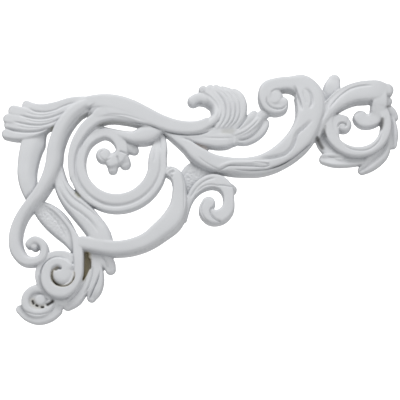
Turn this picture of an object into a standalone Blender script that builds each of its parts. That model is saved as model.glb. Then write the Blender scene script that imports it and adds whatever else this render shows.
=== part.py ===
"""Decorative scroll onlay: one pierced acanthus casting with a flat back.

The ornament is drawn as brush strokes on a flat pattern: stems, volutes, shell
ribs and leaves. Each stroke is a closed solid swept along a smooth curve, and all
of them are joined into one body and cut off flat behind, as the mould leaves it.

The body lies in the X-Z plane with its front facing -Y and its back on y = 0.
"""

import math

import bmesh
import bpy
from mathutils import Vector

# Real sizes, in metres.
LENGTH = 0.406
RELIEF = 0.0205
ROOT_DEPTH = 0.002
ROOT_STEP = 0.00004

# The pattern is drawn in its own units: x from the left tip, z from the lowest leaf.
PATTERN_LENGTH = 404.0
PATTERN_CENTRE = (205.0, 163.0)

# How finely a stroke is cut into flat facets.
TURN_PER_FACET = math.radians(32.0)
LONGEST_FACET = 24.0
KNOB_SIDES = 12
TIP_ANGLES = (math.radians(38.0), math.radians(68.0))
TIP_DROOP = 0.30

# Sections, from the right of the stroke's travel to its left: the share of the
# half width, then the share of the stroke's height. Zero height is the back.
ROUNDED = ((-1.0, 0.0), (-0.96, 0.50), (-0.70, 0.86), (0.0, 1.0),
           (0.70, 0.86), (0.96, 0.50), (1.0, 0.0))
FLAT = ((-1.0, 0.0), (-0.95, 0.62), (-0.72, 0.94), (0.0, 1.0),
        (0.72, 0.94), (0.95, 0.62), (1.0, 0.0))
CUPPED = ((-1.0, 0.0), (-0.97, 0.78), (-0.80, 1.0), (-0.45, 0.70),
          (0.45, 0.70), (0.80, 1.0), (0.97, 0.78), (1.0, 0.0))
CREASED = ((-1.0, 0.0), (-0.95, 0.58), (-0.55, 1.0), (0.0, 0.68),
           (0.55, 1.0), (0.95, 0.58), (1.0, 0.0))
RIBBED = ((-1.0, 0.0), (-0.97, 0.60), (-0.86, 0.74), (-0.66, 0.60), (-0.42, 0.98),
          (-0.12, 0.96), (0.04, 0.80), (0.30, 1.0), (0.80, 0.84), (0.96, 0.50), (1.0, 0.0))
LIPPED = ((-1.0, 0.0), (-0.95, 0.60), (-0.70, 0.94), (-0.05, 1.0),
          (0.42, 0.88), (0.62, 0.76), (0.80, 0.94), (0.96, 0.72), (1.0, 0.0))
CHAMFERED = ((-1.0, 0.0), (-0.96, 0.40), (-0.58, 0.92), (0.0, 1.0),
             (0.84, 0.98), (0.97, 0.80), (1.0, 0.0))

PRIMER_WHITE = (0.74, 0.75, 0.77, 1.0)
PRIMER_ROUGHNESS = 0.55

strokes = []


def on_pattern(x, z):
    """Return the place in metres of a point of the pattern."""
    scale = LENGTH / PATTERN_LENGTH
    return (x - PATTERN_CENTRE[0]) * scale, (z - PATTERN_CENTRE[1]) * scale


def slopes_at(knots):
    """Return the slope of a smooth curve at each knot, per unit of its length."""
    spans = [max((b - a).xy.length, 0.001) for a, b in zip(knots, knots[1:])]
    chords = [(b - a) / span for a, b, span in zip(knots, knots[1:], spans)]
    slopes = []
    for before, after, lead, lag in zip(chords, chords[1:], spans, spans[1:]):
        slopes.append((before * lag + after * lead) / (lead + lag))
    first = chords[0] * 1.5 - slopes[0] * 0.5 if slopes else chords[0]
    last = chords[-1] * 1.5 - slopes[-1] * 0.5 if slopes else chords[-1]
    return [first] + slopes + [last], spans


def smooth_line(knots):
    """Return stations (x, z, half width, height) on a smooth curve through knots."""
    knots = [Vector(knot) for knot in knots]
    slopes, spans = slopes_at(knots)
    stations = [knots[0]]
    for index, span in enumerate(spans):
        start, end = knots[index], knots[index + 1]
        leave, arrive = slopes[index] * span, slopes[index + 1] * span
        turn = leave.xy.angle(arrive.xy, 0.0)
        steps = max(1, math.ceil(turn / TURN_PER_FACET), math.ceil(span / LONGEST_FACET))
        for step in range(1, steps + 1):
            t = step / steps
            near = 2 * t ** 3 - 3 * t ** 2 + 1
            far = 3 * t ** 2 - 2 * t ** 3
            pull_out = t ** 3 - 2 * t ** 2 + t
            pull_in = t ** 3 - t ** 2
            stations.append(start * near + end * far + leave * pull_out + arrive * pull_in)
    return stations


def directions(stations):
    """Return the unit direction of travel at each station."""
    found = []
    for index in range(len(stations)):
        before = stations[max(index - 1, 0)].xy
        after = stations[min(index + 1, len(stations) - 1)].xy
        found.append((after - before).normalized())
    return found


def round_off(stations, travel, at_start):
    """Return the extra stations of a rounded tip, outermost last."""
    end = stations[0] if at_start else stations[-1]
    heading = -travel[0] if at_start else travel[-1]
    tip = []
    for angle in TIP_ANGLES:
        place = end.xy + heading * end.z * math.sin(angle)
        droop = 1.0 - TIP_DROOP * math.sin(angle) ** 2
        tip.append(Vector((place.x, place.y, end.z * math.cos(angle), end.w * droop)))
    return tip


def add_mesh(name, build):
    """Make an object from a function that fills a bmesh, and keep it as a stroke."""
    mesh = bpy.data.meshes.new(name)
    work = bmesh.new()
    build(work)
    bmesh.ops.recalc_face_normals(work, faces=work.faces)
    work.to_mesh(mesh)
    work.free()
    stroke = bpy.data.objects.new(name, mesh)
    stroke.hide_render = True
    stroke.display_type = 'WIRE'
    strokes.append(stroke)
    return stroke


def root():
    """Return how far this stroke runs past the back, a little more for each one."""
    return ROOT_DEPTH + ROOT_STEP * len(strokes)


def section_ring(work, station, heading, section):
    """Put one section's vertices at a station."""
    x, z, half_width, height = station
    left = Vector((-heading.y, heading.x))
    ring = []
    for across, share in section:
        place = Vector((x, z)) + left * (across * half_width)
        px, pz = on_pattern(place.x, place.y)
        depth = -share * height * RELIEF if share > 0.0 else root()
        ring.append(work.verts.new((px, depth, pz)))
    return ring


def sweep(name, knots, section=ROUNDED, tips=(True, True)):
    """Sweep a section along a smooth line; a True tip is rounded off."""
    stations = smooth_line(knots)
    travel = directions(stations)
    head = round_off(stations, travel, True) if tips[0] else []
    tail = round_off(stations, travel, False) if tips[1] else []
    travel = [travel[0]] * len(head) + travel + [travel[-1]] * len(tail)
    stations = head[::-1] + stations + tail

    def build(work):
        rings = [section_ring(work, *pair, section) for pair in zip(stations, travel)]
        for near, far in zip(rings, rings[1:]):
            for side in range(len(section)):
                other = (side + 1) % len(section)
                work.faces.new((near[side], near[other], far[other], far[side]))
        work.faces.new(rings[0])
        work.faces.new(rings[-1][::-1])

    return add_mesh(name, build)


def knob(name, x, z, radius, height):
    """A round boss: straight sides, a sloping shoulder and a blunt top."""
    rings = ((1.0, 0.0), (0.95, 0.62), (0.56, 1.0))

    def build(work):
        cut = []
        for spread, share in rings:
            depth = -share * height * RELIEF if share > 0.0 else root()
            ring = []
            for side in range(KNOB_SIDES):
                angle = math.tau * side / KNOB_SIDES
                px, pz = on_pattern(x + radius * spread * math.cos(angle),
                                    z + radius * spread * math.sin(angle))
                ring.append(work.verts.new((px, depth, pz)))
            cut.append(ring)
        for near, far in zip(cut, cut[1:]):
            for side in range(KNOB_SIDES):
                other = (side + 1) % KNOB_SIDES
                work.faces.new((near[side], near[other], far[other], far[side]))
        work.faces.new(cut[0])
        work.faces.new(cut[-1])

    return add_mesh(name, build)


def arc(centre, radius, start, end, half_width, height, count):
    """Return knots along an arc. Each pair runs from its first to its second value."""
    knots = []
    for index in range(count):
        t = index / (count - 1)
        angle = math.radians(start + (end - start) * t)
        reach = radius[0] + (radius[1] - radius[0]) * t
        knots.append((centre[0] + reach * math.cos(angle),
                      centre[1] + reach * math.sin(angle),
                      half_width[0] + (half_width[1] - half_width[0]) * t,
                      height[0] + (height[1] - height[0]) * t))
    return knots


def fan(name, first, middle, last, count, section=ROUNDED):
    """Sweep a fan of ribs whose lines pass from the first through the middle to the last."""
    for index in range(count):
        t = index / (count - 1)
        weights = ((1 - t) * (1 - 2 * t), 4 * t * (1 - t), t * (2 * t - 1))
        knots = []
        for trio in zip(first, middle, last):
            knots.append([sum(weight * knot[axis] for weight, knot in zip(weights, trio))
                          for axis in range(4)])
        sweep(f"{name}_{index + 1}", knots, section)


def top_left_shell():
    """The fluted leaf that the arch runs out into, with a plain lobe below."""
    fan("shell_rib",
        ((92, 228, 4.5, 0.86), (72, 226, 4.6, 0.84), (55, 221.3, 4.6, 0.80),
         (42, 219.6, 4.8, 0.76), (32, 221.8, 5.2, 0.72), (26.5, 225.6, 5.0, 0.60)),
        ((80, 222, 4.5, 0.86), (64, 217, 4.6, 0.84), (50, 211.5, 4.6, 0.80),
         (38, 209.5, 4.8, 0.76), (24, 212, 5.4, 0.72), (9.4, 217.4, 5.6, 0.58)),
        ((66, 212, 4.0, 0.82), (56, 206, 4.4, 0.80), (46, 201.8, 4.4, 0.76),
         (34, 200.0, 4.6, 0.72), (20, 200.8, 5.2, 0.66), (6.6, 205.3, 5.4, 0.52)),
        4)
    sweep("shell_lobe", ((50, 204, 2.5, 0.60), (43, 199, 3.6, 0.62), (31, 194.2, 4.8, 0.60),
                         (17, 193.2, 5.2, 0.54), (4.8, 195.6, 5.0, 0.44)))


def arch_stem():
    """The long stem over the top, which turns up into the second shell."""
    sweep("arch_stem", ((76, 224, 5.0, 0.86), (92, 227.2, 7.6, 0.95), (104, 227.3, 8.6, 1.0),
                        (117, 225.4, 9.5, 1.0), (131, 220.5, 9.3, 1.0), (146, 213.5, 8.6, 0.98),
                        (161, 206.6, 7.6, 0.96), (176, 202, 6.6, 0.94), (190, 200.3, 6.0, 0.93),
                        (203, 201.8, 6.0, 0.92), (213, 206.8, 5.8, 0.90), (219, 214.5, 5.5, 0.88),
                        (219.6, 223, 5.6, 0.86), (214.5, 231.5, 6.0, 0.80), (207, 239.4, 5.8, 0.68)))
    sweep("stem_flute", ((84, 203, 3.0, 0.86), (92, 211, 4.0, 0.90), (103, 216, 4.5, 0.90),
                         (117, 217.5, 4.5, 0.90), (131, 214.5, 4.0, 0.90),
                         (143, 208, 3.4, 0.88), (152, 202.5, 3.2, 0.84)))


def second_shell():
    """The shell at the middle of the top edge, with its small curl."""
    fan("fan_rib",
        ((220, 200.5, 3.6, 0.80), (226.5, 208, 4.0, 0.84), (228.6, 217, 4.2, 0.84),
         (227, 226.5, 4.4, 0.82), (221.5, 236, 4.8, 0.76), (214.5, 243.2, 5.0, 0.64)),
        ((228, 201.5, 3.6, 0.76), (235, 209.5, 4.0, 0.80), (237.8, 218.5, 4.2, 0.80),
         (236.8, 228, 4.4, 0.78), (232.5, 235.8, 4.6, 0.72), (226.5, 241.2, 4.8, 0.60)),
        ((234.5, 201, 3.4, 0.68), (242.5, 209, 4.0, 0.72), (246.3, 218.5, 4.2, 0.72),
         (245.5, 228, 4.4, 0.70), (241.8, 235.4, 4.5, 0.64), (237, 239.5, 4.6, 0.54)),
        4)
    sweep("fan_curl", ((214, 225.5, 4.6, 0.72), (207, 229.8, 5.6, 0.80), (199.8, 231.2, 5.8, 0.82),
                       (194.9, 229, 5.6, 0.80)))
    sweep("shell_floor", ((176, 194, 3.0, 0.40), (192, 194, 4.0, 0.42), (208, 197, 5.0, 0.45),
                          (222, 199, 5.0, 0.50), (234, 198, 4.0, 0.50)), FLAT)


def inner_left_stem():
    """The stem that drops from the arch, crosses the outer one and ends in a hook."""
    sweep("inner_left_stem",
          ((93, 226, 5.0, 0.92), (82, 220.5, 7.0, 0.95), (72.5, 212.8, 8.0, 0.96),
           (65.3, 203, 8.3, 0.96), (59.6, 191, 8.3, 0.96), (56.2, 178, 8.2, 0.96),
           (55.4, 165, 8.3, 0.95), (52.2, 152, 7.8, 0.95), (47.2, 141, 7.0, 0.95),
           (41.3, 131, 6.4, 0.94), (33.2, 121, 6.0, 0.92), (25.6, 110, 5.9, 0.90),
           (20.5, 97.5, 6.3, 0.90), (18.8, 85, 6.5, 0.90), (21.8, 73.3, 6.0, 0.88),
           (30.2, 65.3, 5.1, 0.86), (38.9, 64.1, 4.9, 0.85), (45.6, 67.7, 4.6, 0.85),
           (47.7, 75, 4.3, 0.85), (44.6, 82.1, 4.1, 0.85), (37.8, 84.8, 4.0, 0.82),
           (32.8, 80.8, 3.7, 0.76)), FLAT)
    knob("hook_eye", 37.8, 79.6, 3.5, 0.50)


def outer_left_stem():
    """The broad stem under the shell, which passes behind the inner one."""
    sweep("outer_left_stem",
          ((37, 196, 6.5, 0.50), (31.8, 187, 10.4, 0.60), (29.2, 176, 10.5, 0.70),
           (28.2, 164, 10.1, 0.74), (28.2, 152, 9.7, 0.74), (30.4, 140, 8.9, 0.70),
           (35.2, 129, 8.2, 0.62)), CHAMFERED)


def husk_and_great_volute():
    """The pointed husk, its rim, and the great volute that the rim winds into."""
    knob("great_volute_plate", 63.2, 50.6, 24.4, 0.46)
    sweep("husk",
          ((38, 124, 5.0, 0.50), (42.5, 118.8, 6.8, 0.50), (50, 113, 9.8, 0.52),
           (59, 104.2, 11.4, 0.56), (68.5, 94.3, 10.2, 0.62), (76, 84.5, 7.6, 0.70),
           (80, 75, 5.4, 0.76), (81.8, 64.5, 5.1, 0.80), (82, 54.5, 5.0, 0.82),
           (80, 45.5, 5.1, 0.83), (74.8, 38.4, 5.3, 0.84), (67.4, 34.8, 5.5, 0.84),
           (59, 35.3, 5.6, 0.84), (52.3, 39.8, 5.6, 0.84), (49.2, 47, 5.3, 0.84),
           (49.9, 55, 5.0, 0.84), (54.3, 61.4, 4.8, 0.85), (61, 63.8, 4.6, 0.86),
           (67.8, 61.6, 4.8, 0.88)), CUPPED)
    knob("great_volute_eye", 67.4, 51.3, 8.3, 0.92)


def strap():
    """The broad strap from behind the inner stem down to the lower scroll."""
    sweep("strap", ((58.5, 163, 5.0, 0.54), (61, 151, 6.0, 0.60), (64, 139.5, 7.9, 0.66),
                    (72, 127, 9.8, 0.72), (83, 115, 11.0, 0.76), (93, 103.5, 11.4, 0.77),
                    (101.3, 92, 11.6, 0.78), (105.5, 81, 11.0, 0.78)), RIBBED)


def left_ring():
    """The large ring: an outer bead and an inner band that leaves it as a leaf."""
    centre = (119.0, 164.3)
    bead = [(163.5, 196, 3.5, 0.66), (165.3, 186, 3.6, 0.70), (165.6, 177, 3.5, 0.72)]
    sweep("ring_bead", bead + arc(centre, (46.7, 45.6), 8, -190, (3.4, 4.4), (0.72, 0.84), 11),
          FLAT)
    sweep("ring_bead_top", arc(centre, (45.6, 46.2), 172, 62, (4.4, 4.4), (0.84, 0.86), 7), FLAT)
    sweep("ring_floor", arc(centre, (41.0, 41.5), 10, -236, (6.0, 6.0), (0.50, 0.50), 10), FLAT)
    band = [(160, 192, 4.0, 0.72), (157.5, 184, 6.0, 0.78), (156.5, 174, 6.4, 0.80)]
    turn = arc(centre, (37.3, 36.8), 5, -218, (6.5, 4.0), (0.80, 0.70), 11)
    leaf = [(98, 192, 4.4, 0.68), (106, 195.1, 4.8, 0.68), (114, 193, 5.4, 0.70),
            (120.8, 186.4, 6.0, 0.74), (123.6, 177.4, 6.4, 0.76), (120, 169, 6.2, 0.76),
            (112.5, 165, 5.2, 0.74)]
    sweep("ring_band", band + turn + leaf, FLAT)


def curl_in_ring():
    """The knob, the three lobes and the tongue of the leaf inside the ring."""
    knob("ring_curl_knob", 104.6, 172.6, 7.6, 0.80)
    lobes = (((115, 170, 4.6, 0.66), (114, 163, 6.0, 0.66), (114, 158.6, 4.7, 0.54)),
             ((121, 174, 5.0, 0.66), (126, 167, 6.0, 0.64), (126.6, 164.4, 5.6, 0.52)),
             ((124, 184, 4.4, 0.60), (131, 180.2, 5.0, 0.58), (135.4, 178.6, 4.8, 0.46)))
    for index, lobe in enumerate(lobes):
        sweep(f"ring_curl_lobe_{index + 1}", lobe)
    sweep("tongue", ((100.5, 199.5, 4.2, 0.52), (113, 196.6, 3.9, 0.60), (124, 193.3, 4.5, 0.68),
                     (135, 190.4, 5.6, 0.74), (147, 193.5, 9.0, 0.78), (156, 195.4, 7.0, 0.74),
                     (163, 198, 3.0, 0.66)), CREASED)


def main_stem_and_upper_volute():
    """The great S of the stem and the volute that its upper end winds into."""
    sweep("main_stem",
          ((166, 196.5, 1.8, 0.50), (176.5, 190.3, 4.0, 0.62), (188.7, 181.6, 6.1, 0.72),
           (200.5, 171.4, 8.8, 0.80), (214, 164.2, 9.4, 0.84), (230, 161, 8.8, 0.87),
           (247, 160.2, 8.8, 0.90), (263.3, 162.4, 9.8, 0.92), (278.6, 168.4, 11.2, 0.94),
           (293, 178.6, 12.6, 0.95), (304.5, 191.6, 13.6, 0.96), (311.5, 206.5, 14.0, 0.97),
           (314, 221, 15.2, 0.97), (312.5, 234, 15.0, 0.97), (305, 244, 12.0, 0.97),
           (293.5, 246.2, 7.5, 0.94), (281, 246, 6.2, 0.92), (270.3, 242, 7.0, 0.90),
           (267.4, 232.5, 6.2, 0.89), (269.5, 223.5, 5.8, 0.88), (277.5, 218.8, 5.0, 0.88),
           (285.6, 221, 4.8, 0.88), (287.6, 226.2, 4.4, 0.88)), RIBBED)
    knob("upper_volute_eye", 278.8, 230.4, 8.0, 0.86)


def leaves_under_shell():
    """The leaf behind the stem's fork and the ribbed leaf beside it."""
    sweep("fork_leaf", ((184, 191.4, 2.2, 0.60), (196, 190.2, 4.4, 0.68), (209, 188.4, 6.2, 0.72),
                        (221, 188.0, 7.6, 0.72), (231, 188.6, 6.6, 0.64), (235.8, 188.6, 4.6, 0.52)),
          CREASED)
    sweep("fork_floor", ((190, 186, 3.0, 0.40), (200, 181.5, 3.6, 0.42), (208, 178.8, 2.6, 0.40)))
    fan("side_rib",
        ((236, 190.4, 4.0, 0.60), (247, 189.6, 4.4, 0.62), (257, 193.8, 4.6, 0.62),
         (264.5, 200.4, 4.8, 0.60), (268.4, 206.2, 4.6, 0.52)),
        ((234, 194, 4.0, 0.62), (244, 195.4, 4.4, 0.64), (253, 200.2, 4.6, 0.64),
         (259.6, 206.6, 4.8, 0.62), (262.6, 212.2, 4.4, 0.54)),
        ((232, 196.5, 3.6, 0.62), (240, 199.5, 4.0, 0.66), (247, 204, 4.4, 0.66),
         (252, 210.2, 4.6, 0.62), (255.4, 216.4, 4.6, 0.54)),
        4)
    sweep("volute_link", ((259, 208, 4.0, 0.48), (265.5, 216.5, 4.6, 0.50), (270.5, 219, 4.0, 0.48)))


def bud():
    """The plain bud in the fork above the right roundel."""
    sweep("bud", ((334, 231, 8.0, 0.50), (335.8, 239, 9.0, 0.58), (337.4, 246, 8.6, 0.60),
                  (339, 251.2, 6.8, 0.54)))


def right_roundel():
    """The roundel at the right end: an arch with a curl, a ring and a small curl."""
    sweep("roundel_arch",
          ((321, 193, 3.6, 0.70), (324.6, 205, 5.4, 0.80), (331.6, 217.6, 7.8, 0.90),
           (343.4, 229, 9.4, 0.95), (358.5, 236.6, 10.4, 0.97), (373.5, 238.8, 11.2, 0.95),
           (385.6, 239.6, 9.8, 0.90), (392.6, 240.4, 6.6, 0.78)), LIPPED)
    sweep("arch_lobe", ((380, 232, 5.2, 0.70), (388.5, 230.8, 4.8, 0.66), (394, 229.4, 3.8, 0.54)))
    sweep("arch_curl", ((378, 231, 9.5, 0.84), (380.5, 221.5, 10.0, 0.82), (381, 212.5, 8.2, 0.80),
                        (373, 207.6, 7.4, 0.80), (366, 209, 6.0, 0.80)))
    knob("arch_curl_knob", 364.6, 210.7, 8.2, 0.86)
    centre = (361.0, 204.8)
    sweep("roundel_ring", arc(centre, (29.8, 29.4), 166, 388, (5.6, 5.2), (0.74, 0.72), 14), FLAT)
    sweep("roundel_heel", ((324, 197, 6.0, 0.50), (328.6, 185.6, 7.4, 0.50), (335.6, 177.8, 7.6, 0.50),
                           (344, 172, 6.2, 0.50)))
    sweep("small_curl", ((340, 187, 4.0, 0.66), (336.5, 194, 6.5, 0.70), (336.5, 203.6, 6.4, 0.76),
                         (342, 209.4, 5.8, 0.78)))
    knob("small_curl_knob", 347.3, 204.2, 8.3, 0.80)


def roundel_leaves():
    """The low leaves around the outside of the right roundel."""
    sweep("left_leaf", ((371, 171, 6.0, 0.40), (354, 168.2, 6.8, 0.44), (336, 168.2, 6.9, 0.48),
                        (328, 169.4, 5.6, 0.42)), CREASED)
    sweep("lower_leaf", ((390, 188, 6.0, 0.42), (385.8, 176, 8.0, 0.46), (377.4, 168.2, 8.8, 0.46),
                         (370, 161, 6.0, 0.42), (366, 158.6, 4.6, 0.34)), CREASED)
    sweep("right_leaf", ((393.5, 217, 3.2, 0.42), (396.6, 205.5, 5.2, 0.46), (397, 193, 6.2, 0.46),
                         (397.4, 184.8, 4.6, 0.38)))
    sweep("right_leaf_tip", ((391, 224.6, 3.2, 0.50), (396.8, 219, 4.2, 0.50),
                             (400.6, 212.8, 3.4, 0.42)))


def lower_scroll():
    """The C-shaped scroll under the ring, with a chamfer along its lower side."""
    sweep("lower_scroll",
          ((86, 81, 6.8, 0.80), (98, 78.8, 7.5, 0.86), (116, 76.6, 7.6, 0.90),
           (134, 78.6, 7.8, 0.92), (149.6, 84.8, 8.4, 0.92), (162.4, 94.4, 9.6, 0.92),
           (174, 105.4, 10.8, 0.92), (180.5, 118.5, 9.6, 0.90), (181.6, 131.6, 7.6, 0.88),
           (180.8, 143.4, 6.8, 0.87), (177, 152.6, 6.4, 0.85), (172.6, 155.2, 6.0, 0.80)),
          CHAMFERED)


def side_volute():
    """The rough web beside the lower scroll, with a leaf that winds into a volute."""
    sweep("web", ((188.5, 127, 3.0, 0.28), (190, 139, 4.6, 0.30), (194.5, 149.5, 8.6, 0.32),
                  (203.5, 155, 7.6, 0.32), (216, 153.4, 5.6, 0.32)), FLAT)
    sweep("web_corner", ((186, 148, 5.0, 0.30), (190, 156, 6.2, 0.30), (196, 162, 5.0, 0.30)), FLAT)
    sweep("side_leaf",
          ((187.6, 106, 1.6, 0.46), (189.6, 114, 2.4, 0.56), (191.8, 123.4, 3.2, 0.62),
           (196, 133, 4.6, 0.66), (204.2, 141.4, 5.6, 0.70), (214.5, 144.8, 6.8, 0.73),
           (223.4, 142.8, 7.0, 0.74), (229.2, 136, 6.4, 0.74), (230.8, 126.5, 5.4, 0.74),
           (229.8, 116.4, 6.2, 0.74), (221.5, 109.4, 6.8, 0.75), (213, 110.8, 7.4, 0.77)), LIPPED)
    knob("side_volute_knob", 208.4, 116.2, 8.8, 0.82)
    knob("side_volute_end", 211.6, 123.2, 7.0, 0.76)
    sweep("side_leaf_tip", ((221, 143, 4.4, 0.58), (229.5, 140, 5.2, 0.58), (234.6, 137.6, 4.6, 0.48)))


def lower_left_leaves():
    """The leaves at the foot and the small volute with its deep pit."""
    sweep("pocket_floor", ((90, 76, 6.0, 0.14), (90, 60, 5.0, 0.14), (88, 46, 4.4, 0.14)), FLAT)
    sweep("foot_leaf_1", ((96, 70.5, 5.5, 0.50), (104, 68, 7.0, 0.54), (110.6, 63, 7.0, 0.50),
                          (113.2, 56.8, 5.4, 0.42)), CREASED)
    sweep("foot_leaf_2", ((95, 66, 5.0, 0.54), (98.5, 54, 6.5, 0.56), (99.3, 43, 7.8, 0.56),
                          (97, 34, 7.2, 0.52), (94.8, 28.5, 4.8, 0.42)), CREASED)
    sweep("foot_leaf_3", ((91.5, 56, 3.2, 0.50), (90.2, 46, 4.2, 0.54), (85, 34.5, 5.6, 0.54),
                          (78.5, 26, 6.4, 0.52), (71.5, 20.4, 5.0, 0.44)), CREASED)
    sweep("foot_crescent", ((24.8, 16.2, 4.4, 0.46), (31.5, 10.6, 5.2, 0.50), (43, 7.0, 5.8, 0.52),
                            (54.5, 10, 5.4, 0.50), (61.5, 15, 4.8, 0.46)))
    centre = (42.6, 24.6)
    knob("small_volute_plate", 47.0, 23.4, 17.4, 0.24)
    sweep("small_volute", arc(centre, (13.2, 12.4), -20, -330, (4.4, 4.0), (0.66, 0.60), 12))
    knob("small_volute_eye", 45.6, 25.4, 5.2, 0.60)
    sweep("wave_leaf", ((48, 37.6, 3.2, 0.46), (53.4, 30.6, 4.0, 0.48), (61.4, 26.5, 4.6, 0.48),
                        (69, 25, 5.4, 0.46)))


def primer():
    """The white primer that the casting is coated with."""
    material = bpy.data.materials.new("white_primer")
    material.use_nodes = True
    shader = material.node_tree.nodes["Principled BSDF"]
    shader.inputs["Base Color"].default_value = PRIMER_WHITE
    shader.inputs["Roughness"].default_value = PRIMER_ROUGHNESS
    shader.inputs["Metallic"].default_value = 0.0
    return material


def back_cutter():
    """A block whose front face is the plane that the casting lies on."""
    mesh = bpy.data.meshes.new("back_cutter")
    work = bmesh.new()
    bmesh.ops.create_cube(work, size=1.0)
    bmesh.ops.scale(work, vec=(2 * LENGTH, LENGTH, 2 * LENGTH), verts=work.verts)
    bmesh.ops.translate(work, vec=(0.0, LENGTH / 2, 0.0), verts=work.verts)
    work.to_mesh(mesh)
    work.free()
    cutter = bpy.data.objects.new("back_cutter", mesh)
    cutter.hide_render = True
    cutter.display_type = 'WIRE'
    bpy.context.collection.objects.link(cutter)
    return cutter


def join_strokes():
    """Join the strokes into one body and cut its back flat."""
    parts = bpy.data.collections.new("strokes")
    bpy.context.scene.collection.children.link(parts)
    casting = bpy.data.objects.new("scroll_onlay", strokes[0].data.copy())
    bpy.context.collection.objects.link(casting)
    for stroke in strokes[1:]:
        parts.objects.link(stroke)
    union = casting.modifiers.new("union", 'BOOLEAN')
    union.operation = 'UNION'
    union.operand_type = 'COLLECTION'
    union.collection = parts
    union.solver = 'EXACT'
    flat_back = casting.modifiers.new("flat_back", 'BOOLEAN')
    flat_back.operation = 'DIFFERENCE'
    flat_back.object = back_cutter()
    # The exact solver leaves this cut open, so the manifold solver makes it.
    flat_back.solver = 'MANIFOLD'
    return casting


def main():
    for old in list(bpy.data.objects):
        bpy.data.objects.remove(old)
    for draw in (arch_stem, top_left_shell, second_shell, inner_left_stem, outer_left_stem,
                 husk_and_great_volute, strap, left_ring, curl_in_ring,
                 main_stem_and_upper_volute, leaves_under_shell, bud, right_roundel,
                 roundel_leaves, lower_scroll, side_volute, lower_left_leaves):
        draw()
    casting = join_strokes()
    casting.data.materials.clear()
    casting.data.materials.append(primer())


main()
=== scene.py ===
# %% [markdown]
# # A scroll onlay in white primer
# The real object is one casting: stems, volutes, shells and leaves, carved once by hand in
# a master and then moulded. A plain solid of it stands on the frame for its weight and its
# contact. This lesson models the same casting again with the carver's finer forms, and
# paints it.

# %% Load the frame
import math

import bmesh
import bpy
import numpy as np
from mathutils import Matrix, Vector, noise


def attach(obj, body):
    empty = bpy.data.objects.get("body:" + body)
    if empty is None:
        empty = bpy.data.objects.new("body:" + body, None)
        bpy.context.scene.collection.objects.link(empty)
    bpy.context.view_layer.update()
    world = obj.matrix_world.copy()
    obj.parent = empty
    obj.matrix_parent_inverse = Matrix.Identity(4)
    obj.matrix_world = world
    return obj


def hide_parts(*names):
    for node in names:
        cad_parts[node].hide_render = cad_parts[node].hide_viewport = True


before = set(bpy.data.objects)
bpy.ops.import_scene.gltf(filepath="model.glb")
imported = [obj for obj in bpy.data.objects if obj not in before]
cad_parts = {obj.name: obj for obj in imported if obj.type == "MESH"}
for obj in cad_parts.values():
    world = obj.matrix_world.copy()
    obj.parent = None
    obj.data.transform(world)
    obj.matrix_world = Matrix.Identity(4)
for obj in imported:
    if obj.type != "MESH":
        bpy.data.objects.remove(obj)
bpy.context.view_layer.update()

# %% [markdown]
# ## One pattern for everything
# A carver works from a drawing. Here too every form is placed on a flat pattern, in units
# close to a millimetre: x from the left tip, z from the lowest leaf. Two short functions
# turn a place on the pattern, and a share of the relief, into metres.

# %% The pattern's scale
SCALE = 0.406 / 404.0
CENTRE_X, CENTRE_Z = 205.0, 163.0
RELIEF = 0.0205
ROOT = 0.002


def on_pattern(x, z):
    """Turn a place on the pattern into metres."""
    return (x - CENTRE_X) * SCALE, (z - CENTRE_Z) * SCALE


print("the pattern's left tip is at x =", round(on_pattern(0, 0)[0], 4), "m")

# %% [markdown]
# ## A smooth line through a few knots
# A stem is drawn with few knots and a springy curve. Each knot holds its place, the half
# width of the stroke there and its height as a share of the relief. The curve eases all
# four together, so a stem swells and sinks without steps.

# %% Smooth lines
def smooth_line(knots, step=2.0):
    """Return stations about one step apart on a smooth curve through the knots."""
    knots = [Vector(knot) for knot in knots]
    spans = [max((b - a).xy.length, 0.001) for a, b in zip(knots, knots[1:])]
    chords = [(b - a) / span for a, b, span in zip(knots, knots[1:], spans)]
    slopes = [(a * lag + b * lead) / (lead + lag)
              for a, b, lead, lag in zip(chords, chords[1:], spans, spans[1:])]
    first = chords[0] * 1.5 - slopes[0] * 0.5 if slopes else chords[0]
    last = chords[-1] * 1.5 - slopes[-1] * 0.5 if slopes else chords[-1]
    slopes = [first] + slopes + [last]
    stations = [knots[0]]
    for index, span in enumerate(spans):
        a, b = knots[index], knots[index + 1]
        leave, arrive = slopes[index] * span, slopes[index + 1] * span
        count = max(2, math.ceil(span / step))
        for number in range(1, count + 1):
            t = number / count
            stations.append(a * (2 * t ** 3 - 3 * t ** 2 + 1) + b * (3 * t ** 2 - 2 * t ** 3)
                            + leave * (t ** 3 - 2 * t ** 2 + t) + arrive * (t ** 3 - t ** 2))
    return stations


print("a test line has", len(smooth_line(((0, 0, 1, 1), (20, 5, 2, 1), (30, 20, 1, 1)))), "stations")

# %% [markdown]
# ## Sections
# A stroke's look comes from its section. Each one lists heights at thirteen fixed places
# across the stroke, from the right of its travel to the left. The outermost two stand for
# the root, which is sunk behind the back and cut off later.

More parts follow.
